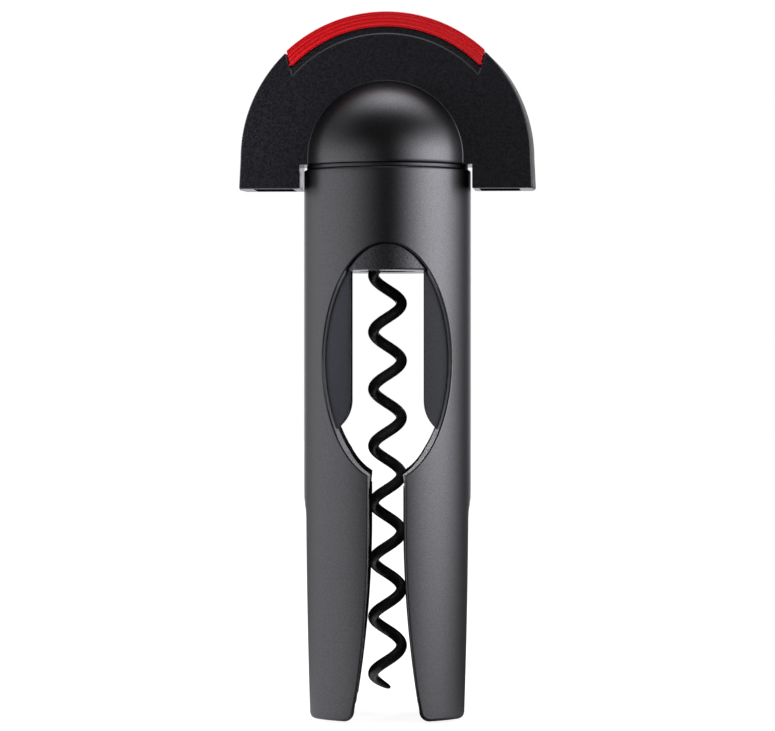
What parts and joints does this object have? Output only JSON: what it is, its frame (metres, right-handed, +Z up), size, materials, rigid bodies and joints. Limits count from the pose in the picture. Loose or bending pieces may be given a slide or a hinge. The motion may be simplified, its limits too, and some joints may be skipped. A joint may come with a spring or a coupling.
{
  "type": "corkscrew",
  "caption": "Self-pulling corkscrew: a tube with windows and two legs that pinch a bottle's neck, a coated worm and a half-disc handle with a soft grip.",
  "frame": {"origin": "on the worm's axis, level with the feet of the two legs", "axes": "+Z up along the worm towards the handle, -Y towards the front window, +X to the right seen from the front"},
  "size_m": [0.07, 0.0392, 0.1647],
  "materials": {
    "satin_shell": "satin",
    "grained_black": "fine grain",
    "liner": "fine grain",
    "soft_grip": "soft matt",
    "neck_rubber": "matt",
    "coated_worm": "semi-gloss non-stick coating",
    "slip_plastic": "smooth",
    "hub_plastic": "moulded",
    "steel": "plain"
  },
  "bodies": {
    "frame": {"frame_shell": "satin_shell", "inner_sleeve": "liner", "worm_guide": "slip_plastic"},
    "left_leg": {"left_leg": "satin_shell", "left_neck_pad": "neck_rubber"},
    "right_leg": {"right_leg": "satin_shell", "right_neck_pad": "neck_rubber"},
    "slip_ring": {"slip_ring": "slip_plastic"},
    "handle": {"handle_front_shell": "grained_black", "handle_rear_shell": "grained_black", "grip_inlay": "soft_grip", "front_dome": "satin_shell", "rear_dome": "satin_shell", "hub_core": "hub_plastic", "worm": "coated_worm", "worm_clamp": "steel", "clamp_screws": "steel", "shell_screws": "steel"}
  },
  "joints": [
    {"name": "lift", "type": "slide", "parent": "frame", "child": "slip_ring", "axis": [0, 0, 1], "range_m": [0, 0.098]},
    {"name": "turn", "type": "hinge", "parent": "slip_ring", "child": "handle", "pos_m": [0, 0, 0.129], "axis": [0, 0, 1], "continuous": true},
    {"name": "left_squeeze", "type": "hinge", "parent": "frame", "child": "left_leg", "pos_m": [-0.01505, 0, 0.06175], "axis": [0, -1, 0], "range_deg": [0, 1.5], "stiffness_Nm_per_rad": 14},
    {"name": "right_squeeze", "type": "hinge", "parent": "frame", "child": "right_leg", "pos_m": [0.01505, 0, 0.06175], "axis": [0, 1, 0], "range_deg": [0, 1.5], "stiffness_Nm_per_rad": 14}
  ]
}
